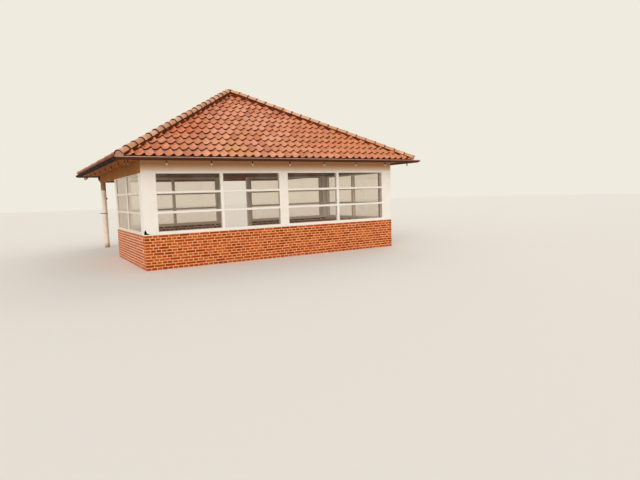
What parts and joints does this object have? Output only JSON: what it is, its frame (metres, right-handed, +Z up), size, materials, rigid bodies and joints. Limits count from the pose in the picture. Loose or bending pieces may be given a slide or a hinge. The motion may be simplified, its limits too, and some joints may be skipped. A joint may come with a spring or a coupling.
{
  "type": "railway station building",
  "caption": "Small square station building: glazed waiting room on a brick plinth in front, open porch behind, under one pyramid roof of clay pantiles.",
  "frame": {"origin": "middle of the square plan, on the ground", "axes": "+X along the glazed front wall to the right, +Y from the front wall towards the open porch, +Z up"},
  "size_m": [8.294, 8.294, 4.9798],
  "materials": {
    "brick": "rough orange-red facing brick with pale joints",
    "white_casing": "cream white paint",
    "white_frame": "white gloss paint",
    "window_glass": "clear",
    "column_paint": "white paint",
    "brown_timber": "brown stain",
    "brown_boards": "brown stain",
    "fascia_paint": "dark brown paint",
    "gutter_metal": "weathered dark grey",
    "roof_tiles": "weathered red clay",
    "hip_clay": "weathered red clay",
    "lamp_globe": "white globe on a dark socket",
    "black_pipe": "black",
    "concrete": "trowelled concrete"
  },
  "bodies": {
    "root": {"apex_cap": "hip_clay", "back_glass": "window_glass", "back_header": "brown_timber", "back_left_pier": "white_casing", "back_left_plinth": "brick", "back_left_window_frame": "white_frame", "back_right_pier": "white_casing", "back_right_plinth": "brick", "back_right_window_frame": "white_frame", "door_posts": "white_casing", "eave_lamps": "lamp_globe", "eaves_soffit": "brown_boards", "fascia_boards": "fascia_paint", "floor_slab": "concrete", "front_glass": "window_glass", "front_gutter": "gutter_metal", "front_header": "white_casing", "front_left_pier": "white_casing", "front_left_window_frame": "white_frame", "front_middle_pier": "white_casing", "front_plinth": "brick", "front_right_pier": "white_casing", "front_right_window_frame": "white_frame", "front_roof_slope": "roof_tiles", "hip_tiles": "hip_clay", "left_beam": "brown_timber", "left_column": "column_paint", "left_glass": "window_glass", "left_gutter": "gutter_metal", "left_plinth": "brick", "left_roof_slope": "roof_tiles", "left_window_frame": "white_frame", "porch_ceiling": "brown_boards", "rain_pipe": "black_pipe", "rear_beam": "brown_timber", "rear_gutter": "gutter_metal", "rear_roof_slope": "roof_tiles", "right_beam": "brown_timber", "right_column": "column_paint", "right_glass": "window_glass", "right_gutter": "gutter_metal", "right_plinth": "brick", "right_roof_slope": "roof_tiles", "right_window_frame": "white_frame", "room_ceiling": "brown_boards"}
  },
  "joints": []
}
